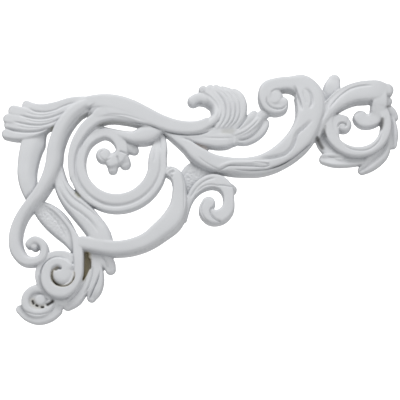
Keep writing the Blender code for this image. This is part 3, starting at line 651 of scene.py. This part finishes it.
carve(((239, 199), (243.6, 204), (247.6, 209.4), (250, 214.6)), 1.6, 1.8, 2.2)
carve(((240, 187.6), (250, 190.4), (258, 196), (264, 203.4), (266.6, 208)), 1.4, 2.2, 1.3)
carve(((238, 193), (247, 196.6), (255.6, 203.2), (261.6, 209.8)), 1.2, 1.6, 0.9)
carve(((204, 191), (214, 190.4), (226, 190.2), (238, 190.6)), 1.4, 2, 0.6, taper=0.4)
carve(((164, 198.4), (172, 196), (182, 194.2), (193, 193.8), (204, 195), (214, 199)), 1.3, 1.3, 2.4)
carve(((164, 197.4), (166.4, 193.4), (169, 189.4)), 1.2, 1.2, 2.4, taper=0.1)
carve(((182, 191), (190, 189), (198, 185.4), (206, 180.6)), 1.2, 2, 1)
print("deepest cut so far:", round(push.max() * 1000, 2), "mm")

# %% Lines of the arch and the ring
carve(((107, 215), (117, 214.9), (126, 214), (136, 211.2), (146, 207.4)), 1.6, 1.1, 0.6, taper=0.35)
carve(((80, 178), (86, 190.6), (95, 200), (106, 205.4), (118, 207)), 2.2, 2.2, 1.6, taper=0.4)
carve(((128, 207), (140, 206), (150, 204), (158, 200.8), (164, 198)), 1.3, 1.3, 1.8, taper=0.3)
carve(((113, 170), (109.5, 167.4), (105, 167.6), (101.6, 171), (101.8, 175.4), (105.6, 177.6)), 1.3, 1.3, 0.8)
carve(((66, 195), (72, 205), (80, 214), (88.4, 221.6), (96.6, 228)), 1.4, 4, 1.3, taper=0.35)
carve(((154, 183), (156.4, 176), (155.4, 165)), 1.6, 1.6, 0.7)
carve(((118.6, 171), (119.8, 166), (120.6, 161)), 1.6, 1.6, 1.4, taper=0.0)
carve(((122, 176.4), (127, 174.4), (131, 173)), 1.6, 1.6, 1.4, taper=0.0)
print("deepest cut so far:", round(push.max() * 1000, 2), "mm")

# %% Lines of the main stem
carve(((219, 156.4), (225, 158.8), (230.6, 161.8), (240, 161.8), (256, 161.2), (268, 160.8), (272.6, 162.5)),
      1, 1.6, 1.4, taper=0.05)
carve(((272.6, 163), (268, 164.6), (262, 165.2), (255, 165.2)), 1.6, 1, 1)
carve(((236, 157.6), (246, 157), (258, 156.8), (270, 158), (282, 162), (294, 168.6)), 1.2, 1.2, 1.8)
carve(((272, 158.6), (284, 163), (295, 169.4), (306, 178.2), (318, 189)), 1.5, 1.5, 3)
carve(((263, 167.4), (278, 169.4), (289, 173.2), (295.6, 180), (299, 188), (301, 194), (308, 200.4),
       (316, 208.6)), 4.6, 1.1, 2.4)
carve(((298.4, 246), (300.4, 240), (302.6, 233), (304.8, 226), (306, 219)), 1.4, 4.2, 2.2, taper=0.35)
carve(((308, 242.6), (313, 238.6), (315.8, 232), (315.2, 226), (312.6, 221)), 3.4, 1.6, 1.7, taper=0.35)
carve(((306.4, 240), (308.6, 232), (311, 226)), 1.2, 1.2, 0.7)
carve(((328, 241), (332, 232), (330.6, 220), (324, 208)), 2.2, 2.2, 0.8, taper=0.35)
carve(((270.2, 234), (270, 228), (273, 223.4), (279, 220.8), (286, 221.4), (290.8, 225.6)),
      1.8, 1.2, 1.6, taper=0.25)
carve(((274, 238), (279, 241.6), (285, 241)), 1.2, 2, 0.8)
carve(((200, 171), (206, 166), (214, 161), (222, 157.4)), 1.4, 1.4, 0.7)
print("deepest cut so far:", round(push.max() * 1000, 2), "mm")

# %% Lines of the left stems, the husk and the strap
carve(((62, 152), (65.4, 142), (74, 129.6), (86, 120.4), (98, 110), (106, 98)), 1.4, 3.2, 1.4, taper=0.35)
carve(((59.4, 140), (64.6, 130), (72.4, 120.4), (83, 112.8), (93, 104), (101, 92)), 3.2, 1.4, 1.5, taper=0.35)
carve(((46, 117), (55, 108.6), (63, 98.4), (69.4, 86)), 2.8, 1.2, 0.9, taper=0.3)
carve(((44.6, 48), (45.6, 57), (50.4, 64.4), (58, 68.2), (66, 67.4), (73.4, 62)), 1.2, 1.2, 1.3)
carve(((76.4, 70), (77.4, 61), (77.2, 53)), 1.2, 1.2, 0.9)
carve(((59.4, 56.4), (61.6, 57.8), (63.4, 57.4)), 2.6, 2.6, 4.6, taper=0.0)
carve(((57.6, 44), (61, 40.8), (66, 39.4), (71.6, 40.6), (76, 44.6), (77.6, 50)), 1.2, 1.2, 2.4, taper=0.15)
carve(((76.6, 45), (78, 49), (77.6, 54)), 1, 1, 1.6)
print("deepest cut so far:", round(push.max() * 1000, 2), "mm")

# %% Lines of the scrolls, the roundel and the foot
carve(((167.6, 151), (169, 156.2), (173, 158.8), (180, 157.4), (184.4, 152.6), (185.8, 144), (186.2, 128),
       (186, 116)), 1.2, 1.2, 0.9)
carve(((175, 155.6), (171.8, 153.2), (173.6, 150.8)), 2.6, 2.6, 1.6, taper=0.0)
carve(((333, 221), (345, 235), (355, 242), (366, 245.4), (378, 245.6)), 1.2, 2.4, 1.2)
carve(((343, 190), (350, 181), (360, 177.4), (372, 178.4), (382, 186), (387, 197)), 1.3, 1.3, 0.9)
carve(((341.6, 201), (343.4, 205.4), (347, 206.4), (350, 204.4), (349, 201.4)), 1.5, 1.5, 1.8)
carve(((372, 214), (373.6, 219), (372, 226)), 1.6, 1.6, 1.2)
carve(((192, 128), (198, 138), (208, 146.6), (218, 149.4)), 1.3, 2.2, 1.1)
carve(((198, 133.6), (206, 140.4), (214.4, 142.2), (222, 140)), 1.4, 1.4, 0.9)
carve(((219, 141.6), (227, 141), (235, 139)), 1.2, 1.2, 1.1)
carve(((219.4, 116.4), (215.6, 119.6), (212.4, 117), (212.6, 111.6), (216.6, 106.6), (223, 103.6)),
      2.8, 1, 1.9, taper=0.06)
carve(((207.4, 126), (204.2, 119.6), (204.4, 112.4), (208, 106.6), (214, 103.2)), 1.2, 1.8, 1)
carve(((330, 170.6), (342, 170.4), (356, 171.4)), 1.2, 2.4, 0.9)
carve(((104, 70), (108.6, 64), (110.4, 57)), 2.2, 1.2, 1.1)
carve(((90, 48), (84, 37), (78, 29), (71, 23)), 1.2, 2.2, 1.2)
carve(((103.6, 55), (100.6, 45), (96.4, 35), (92, 24)), 1.4, 1.4, 2.6, taper=0.35)
carve(((96, 60), (95.4, 50), (92.6, 40), (87.6, 31)), 1, 1.6, 1.4)
carve(((27, 17), (34, 13), (44, 11.4), (54, 14), (61, 19)), 1.2, 1.2, 1.2)
for pit, size in ((((37.2, 24.4), (38.2, 22)), 1.8), (((41, 20.4), (42.2, 19.8)), 1.5),
                  (((46.4, 18.6), (48, 18.4)), 1.5), (((52.2, 21), (56.6, 24)), 3)):
    carve(pit, size, size, 2.6, taper=0.0)
print("the chisel moves the skin by up to", round(push.max() * 1000, 2), "mm")

# %% [markdown]
# ## Rough ground
# Where the carver left the ground rough, the master shows small dents. Noise gives them:
# one value for each point, scaled down to nothing outside the rough places. Then the
# whole push moves the skin at once, less where a wall stands square to the front.

# %% Rough ground
def near_line(line, width):
    """Return 1 on a line of the pattern, falling to 0 at the given distance."""
    away = np.full(len(spots), 1e9)
    for point in track_of(line, 0.6):
        away = np.minimum(away, np.hypot(spots[:, 0] - point[0], spots[:, 1] - point[1]))
    return np.clip(1 - away / width, 0, 1)


DENT = 0.0007
WEB_TOP, HUSK_TOP = 0.0112, 0.0128
web = near_line(((191, 134), (192, 145), (200, 157), (214, 153)), 11.0) * (points[:, 1] > -WEB_TOP)
husk = near_line(((44, 116), (54, 106), (66, 93)), 10.0) * 0.6 * (points[:, 1] > -HUSK_TOP)
rough = np.maximum(web, husk)
for index in np.where(rough > 0)[0]:
    spot = Vector((spots[index, 0], spots[index, 1], 0))
    dents = noise.noise(spot * 0.42) + 0.5 * noise.noise(spot * 0.9)
    push[index] += DENT * min(rough[index] * 2, 1) * dents
print(int((rough > 0).sum()), "points lie on rough ground")

# %% Move the skin
facing = np.clip(-normals[:, 1] * 1.6, 0, 1)
points[:, 1] += push * facing
casting.data.vertices.foreach_set("co", points.astype(np.float32).ravel())
casting.data.update()
casting.data = mesh_with(casting, ('SMOOTH', {"factor": 0.4, "iterations": 1}))
print("most moved:", round(float((push * facing).max()) * 1000, 2), "mm")

# %% [markdown]
# ## The flat back
# The casting is poured in an open mould, so its back is a plane. The cut is made last,
# which leaves its edge sharp, as on the real piece.

# %% Cut the back and thin the mesh
MOST_TRIANGLES = 190000
SHARP_ANGLE = math.radians(62)
work = bmesh.new()
work.from_mesh(casting.data)
bmesh.ops.bisect_plane(work, geom=work.verts[:] + work.edges[:] + work.faces[:], dist=1e-7,
                       plane_co=(0, 0, 0), plane_no=(0, 1, 0), clear_outer=True)
rim = [edge for edge in work.edges if edge.is_boundary]
bmesh.ops.triangle_fill(work, use_beauty=True, use_dissolve=False, edges=rim, normal=(0, 1, 0))
bmesh.ops.triangulate(work, faces=work.faces[:])
bmesh.ops.recalc_face_normals(work, faces=work.faces[:])
count = len(work.faces)
print("open edges after the cut:", sum(1 for edge in work.edges if not edge.is_manifold))
work.to_mesh(casting.data)
work.free()
ratio = min(1.0, MOST_TRIANGLES / count)
casting.data = mesh_with(casting, ('DECIMATE', {"ratio": ratio}))
casting.data.name = "scroll_casting"
for polygon in casting.data.polygons:
    polygon.use_smooth = True
casting.data.set_sharp_from_angle(angle=SHARP_ANGLE)
print(count, "triangles, thinned to", len(casting.data.polygons))

# %% [markdown]
# ## Painted shade in the hollows
# Shade gathers in hollows, and here it is painted into the colour as painted shade. To find
# the hollows, the front is laid out as a grid of heights and blurred: a point that lies behind
# the blurred height is in a hollow. Walls get a painted shade of their own that deepens
# towards the back. None of it may reach the flat back itself.

# %% Hollows, for painted shade
GRID = 420
MARGIN = 4


def blurred(grid, width):
    """Return the grid after three box blurs along each of its two directions."""
    for axis in (0, 1):
        for _ in range(3):
            pad = np.pad(grid, [(width, width) if a == axis else (0, 0) for a in (0, 1)], mode="edge")
            total = np.cumsum(pad, axis=axis)
            top = np.take(total, range(2 * width, pad.shape[axis]), axis=axis)
            low = np.take(total, range(0, pad.shape[axis] - 2 * width), axis=axis)
            grid = (top - low) / (2 * width)
    return grid


points, normals, spots = skin(casting.data)
height = -points[:, 1] / RELIEF
cells = np.clip((spots + MARGIN).astype(int), 0, GRID - 1)
heights = np.zeros((GRID, GRID))
np.maximum.at(heights, (cells[:, 0], cells[:, 1]), -points[:, 1])
solid = (heights > 0).astype(float)
# painted shade: darker where the skin lies behind its blurred surroundings
painted_shade = np.zeros(len(points))
for width, least, most in ((1, 0.3, 2.4), (3, 0.8, 6.0)):
    around = blurred(heights, width) / np.maximum(blurred(solid, width), 0.05)
    depth = (around[cells[:, 0], cells[:, 1]] + points[:, 1]) * 1000
    painted_shade = np.maximum(painted_shade, np.clip((depth - least) / (most - least), 0, 1))
front_side = np.clip((0.5 - normals[:, 1]) * 4, 0, 1) * np.clip((height - 0.004) * 40, 0, 1)
painted_shade *= 0.3 + 0.7 * np.clip(-normals[:, 1] * 1.6, 0, 1)
# painted shade on steep walls, deeper towards the back
steep = np.clip(1 - np.abs(normals[:, 1]) * 1.6, 0, 1)
painted_shade = np.maximum(painted_shade, 0.65 * steep * np.clip((0.62 - height) / 0.5, 0, 1))
print("half of the points are darkened by less than", round(float(np.median(painted_shade)), 3))

# %% [markdown]
# The photograph shows stains in a few deep places, and deep shadow in others, which the
# near-black rows paint into the colour as painted shadow. Each is a soft blot along lines of
# the pattern, and only where the skin lies low enough. A row of the table gives its colour,
# the highest skin it touches, its width, its strength and its lines. All are stored on
# the mesh as attributes, so the material can read them from any side.

# %% Stains and painted shadow
def stain_and_shadow(lines, below, width):
    """Return a mask along lines, only where the skin lies below a share of the relief."""
    mask = np.zeros(len(points))
    for line in lines:
        mask = np.maximum(mask, near_line(line, width))
    return np.clip(mask * 1.5, 0, 1) * np.clip((below - height) / 0.10, 0, 1)


VOLUTE_LINE = ((61, 58), (57, 55), (56, 48), (58.6, 42.4), (65, 39.6), (72, 41), (77, 47), (77.6, 53))
POCKET = ((90.6, 71), (90.4, 60), (88, 48))
PITS = (((37.2, 24.4), (38.2, 21.8)), ((41, 20.4), (42.2, 19.8)), ((46.4, 18.6), (48, 18.4)))
SHADOW_WEDGES = (((320.6, 190), (322.4, 185), (325.4, 180)), ((387, 210), (386.4, 205), (385, 200.4)))
SHADOWS = (((329, 203), (328.4, 197), (329.4, 192)), ((386, 225.4), (390, 223.4), (395, 223.8)))
# The near-black rows are painted shadow: the pocket, the pits, the volute's deep line, the wedges and the
# shadows at the roundel. The brown, olive and rose rows are stains.
STAINS_AND_SHADOWS = (
    ("painted_shadow", 0.44, 5.0, 0.10, (POCKET,)),
    ("painted_shadow", 0.56, 1.5, 0.85, PITS),
    ("painted_shadow", 0.60, 2.8, 1.00, (((52.4, 21), (56.6, 24)),)),
    ("painted_shadow", 0.80, 2.8, 0.75, SHADOW_WEDGES),
    ("painted_shadow", 0.83, 1.2, 0.35, (VOLUTE_LINE, ((60, 57.2), (63, 57.6)))),
    ("painted_shadow", 0.80, 1.7, 0.55, SHADOWS),
    ("brown", 0.56, 5.4, 1.00, (POCKET,)),
    ("brown", 0.88, 2.0, 0.60, (VOLUTE_LINE,)),
    ("brown", 0.60, 5.0, 0.30, PITS),
    ("olive", 0.80, 2.6, 0.70, (((78, 132.8), (80.6, 129.8)),)),
    ("olive", 0.76, 2.6, 0.30, (((98, 204.6), (114, 207), (132, 206.6), (150, 204.6)),)),
    ("olive", 0.80, 3.0, 0.60, (((84, 206), (94, 214.6)), ((52.6, 200.6), (53, 197)))),
    ("olive", 0.90, 3.6, 0.30, (((226, 197), (234, 197.4)),)),
    ("rose", 0.70, 4.0, 0.60, (((199, 183), (207, 179.4)),)))
masks = {"painted_shade": painted_shade}
for name, below, width, strength, lines in STAINS_AND_SHADOWS:
    masks[name] = np.maximum(masks.get(name, 0), stain_and_shadow(lines, below, width) * strength)
for name, values in masks.items():
    values = values * front_side
    layer = casting.data.attributes.new(name, 'FLOAT', 'POINT')
    layer.data.foreach_set("value", values.astype(np.float32))
    print(name, "covers", round(float((values > 0.3).mean()) * 100, 1), "percent of the points")

# %% [markdown]
# ## White primer
# The finish is a sprayed primer: nearly white, a little blue, not shiny, with a fine
# grain. Two effects are used more than once or stand alone, so they are node groups: a
# coat that lies over a base where a mask says so, and the mottle and grain of the spray.

# %% A coat over a base
def effect(name, sockets):
    """Make a node group with the named sockets, and return it with its two ends."""
    tree = bpy.data.node_groups.new(name, "ShaderNodeTree")
    for label, way, kind in sockets:
        tree.interface.new_socket(name=label, in_out=way, socket_type=kind)
    return tree, tree.nodes.new("NodeGroupInput"), tree.nodes.new("NodeGroupOutput")


coat_tree, start, end = effect("coat_over", (
    ("Base", 'INPUT', "NodeSocketColor"), ("Coat", 'INPUT', "NodeSocketColor"),
    ("Mask", 'INPUT', "NodeSocketFloat"), ("Strength", 'INPUT', "NodeSocketFloat"),
    ("Colour", 'OUTPUT', "NodeSocketColor")))
share = coat_tree.nodes.new("ShaderNodeMath")
share.operation = 'MULTIPLY'
mix = coat_tree.nodes.new("ShaderNodeMix")
mix.data_type = 'RGBA'
coat_tree.links.new(start.outputs["Mask"], share.inputs[0])
coat_tree.links.new(start.outputs["Strength"], share.inputs[1])
coat_tree.links.new(share.outputs[0], mix.inputs["Factor"])
coat_tree.links.new(start.outputs["Base"], mix.inputs["A"])
coat_tree.links.new(start.outputs["Coat"], mix.inputs["B"])
coat_tree.links.new(mix.outputs["Result"], end.inputs["Colour"])
print("effect:", coat_tree.name)

# %% Mottle and grain
spray_tree, start, end = effect("spray", (
    ("Mottle", 'OUTPUT', "NodeSocketFloat"), ("Normal", 'OUTPUT', "NodeSocketVector")))
where = spray_tree.nodes.new("ShaderNodeTexCoord")
for label, scale, detail in (("mottle", 38.0, 3.0), ("grain", 900.0, 2.0)):
    cloud = spray_tree.nodes.new("ShaderNodeTexNoise")
    cloud.name = label
    cloud.inputs["Scale"].default_value = scale
    cloud.inputs["Detail"].default_value = detail
    spray_tree.links.new(where.outputs["Object"], cloud.inputs["Vector"])
bump = spray_tree.nodes.new("ShaderNodeBump")
bump.inputs["Strength"].default_value = 0.12
bump.inputs["Distance"].default_value = 0.0003
spray_tree.links.new(spray_tree.nodes["grain"].outputs["Fac"], bump.inputs["Height"])
spray_tree.links.new(spray_tree.nodes["mottle"].outputs["Fac"], end.inputs["Mottle"])
spray_tree.links.new(bump.outputs["Normal"], end.inputs["Normal"])
print("effect:", spray_tree.name)

# %% [markdown]
# Each coat reads its own attribute: a grey painted shade in the hollows, then brown,
# a near-black painted shadow in the deepest places, olive and a trace of rose where the
# photograph shows stains.

# %% The primer
primer = bpy.data.materials.new("white_primer")
primer.use_nodes = True
nodes, links = primer.node_tree.nodes, primer.node_tree.links
shader = nodes["Principled BSDF"]
spray = nodes.new("ShaderNodeGroup")
spray.node_tree = spray_tree


def coat(base, colour, mask, strength):
    """Lay a colour over a base where the mask says so, and return the new colour socket."""
    layer = nodes.new("ShaderNodeGroup")
    layer.node_tree = coat_tree
    layer.inputs["Coat"].default_value = colour
    layer.inputs["Strength"].default_value = strength
    if isinstance(mask, str):
        reader = nodes.new("ShaderNodeAttribute")
        reader.attribute_name = mask
        mask = reader.outputs["Fac"]
    links.new(mask, layer.inputs["Mask"])
    if isinstance(base, tuple):
        layer.inputs["Base"].default_value = base
    else:
        links.new(base, layer.inputs["Base"])
    return layer.outputs["Colour"]


paint = coat((0.76, 0.772, 0.79, 1), (0.66, 0.675, 0.70, 1), spray.outputs["Mottle"], 0.6)
# painted shade: a grey coat in the hollows and on low walls
paint = coat(paint, (0.30, 0.31, 0.33, 1), "painted_shade", 0.62)
paint = coat(paint, (0.41, 0.355, 0.22, 1), "brown", 0.9)
# painted shadow: a near-black coat in the deepest places
paint = coat(paint, (0.03, 0.026, 0.02, 1), "painted_shadow", 0.94)
paint = coat(paint, (0.28, 0.27, 0.16, 1), "olive", 0.8)
paint = coat(paint, (0.50, 0.40, 0.34, 1), "rose", 0.7)
links.new(paint, shader.inputs["Base Color"])
links.new(spray.outputs["Normal"], shader.inputs["Normal"])
shader.inputs["Roughness"].default_value = 0.55
shader.inputs["Specular IOR Level"].default_value = 0.35
casting.data.materials.clear()
casting.data.materials.append(primer)
print("material:", primer.name, "with", len(nodes), "nodes")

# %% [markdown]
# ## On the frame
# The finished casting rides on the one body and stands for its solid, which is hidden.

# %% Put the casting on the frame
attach(casting, "root")
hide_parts("scroll_onlay")
print(casting.name, "stands for the plain solid")

# %% [markdown]
# ## Floor, backdrop, light and camera
# The photograph looks up at the piece by about twelve degrees, from a little over a metre.
# It is lit by a soft light from above and fills the picture on a plain white ground. A
# floor and a backdrop that glows a little give that ground, and are no part of the piece.

# %% The stage
def plain(name, colour, glow=0.0):
    """A matt material of one colour, which may glow."""
    material = bpy.data.materials.new(name)
    material.use_nodes = True
    surface = material.node_tree.nodes["Principled BSDF"]
    surface.inputs["Base Color"].default_value = colour
    surface.inputs["Roughness"].default_value = 0.9
    surface.inputs["Emission Color"].default_value = colour
    surface.inputs["Emission Strength"].default_value = glow
    return material


def sheet(name, size, place, turn, material):
    """A flat square of the stage."""
    work = bmesh.new()
    made = bmesh.ops.create_grid(work, x_segments=1, y_segments=1, size=size)
    bmesh.ops.rotate(work, verts=made["verts"], matrix=turn)
    bmesh.ops.translate(work, verts=made["verts"], vec=place)
    mesh = bpy.data.meshes.new(name)
    work.to_mesh(mesh)
    work.free()
    mesh.materials.append(material)
    obj = bpy.data.objects.new(name, mesh)
    bpy.context.scene.collection.objects.link(obj)


level = Vector((0, 0, 1)).to_track_quat('Z', 'Y').to_matrix()
sheet("floor", 6.0, (0, 0, -0.75), level, plain("pale_floor", (0.8, 0.8, 0.8, 1)))
sheet("backdrop", 1.1, (0, 3.0, 0.9), TO_FRONT, plain("white_backdrop", (1, 1, 1, 1), 1.0))
print("the stage: a floor and a backdrop")

# %% The light
world = bpy.data.worlds.new("studio")
world.use_nodes = True
world.node_tree.nodes["Background"].inputs["Color"].default_value = (1, 1, 1, 1)
world.node_tree.nodes["Background"].inputs["Strength"].default_value = 0.52
bpy.context.scene.world = world


def softbox(name, place, aim, size, power):
    """A round soft light, turned to what it lights."""
    light = bpy.data.lights.new(name, 'AREA')
    light.shape = 'DISK'
    light.size = size
    light.energy = power
    obj = bpy.data.objects.new(name, light)
    obj.location = place
    obj.rotation_euler = (Vector(aim) - Vector(place)).to_track_quat('-Z', 'Y').to_euler()
    bpy.context.scene.collection.objects.link(obj)


softbox("key", (-0.35, -0.9, 1.4), (0, 0, 0), 0.9, 14.0)
softbox("front", (0.3, -2.2, 0.2), (0, 0, 0), 1.6, 3.0)
print(len(bpy.data.lights), "lights")

# %% The camera
DISTANCE = SIGHT_LENGTH * SCALE
x, z = on_pattern(AIM_X, AIM_Z)
aim = Vector((x, -0.009, z))
ahead = Vector((0, math.cos(LOOK_UP), math.sin(LOOK_UP)))
lens = bpy.data.cameras.new("camera")
lens.lens = 117
lens.sensor_width = 36
camera = bpy.data.objects.new("camera", lens)
camera.location = aim - ahead * DISTANCE
camera.rotation_euler = ahead.to_track_quat('-Z', 'Y').to_euler()
bpy.context.scene.collection.objects.link(camera)
bpy.context.scene.camera = camera
bpy.context.scene.view_settings.view_transform = 'Standard'
print("the camera stands", round(DISTANCE, 3), "m away")

# %% [markdown]
# The view layer is updated last, so every change is in place. The dressed piece must
# stay as large as its solid.

# %% Update the view layer
bpy.context.view_layer.update()
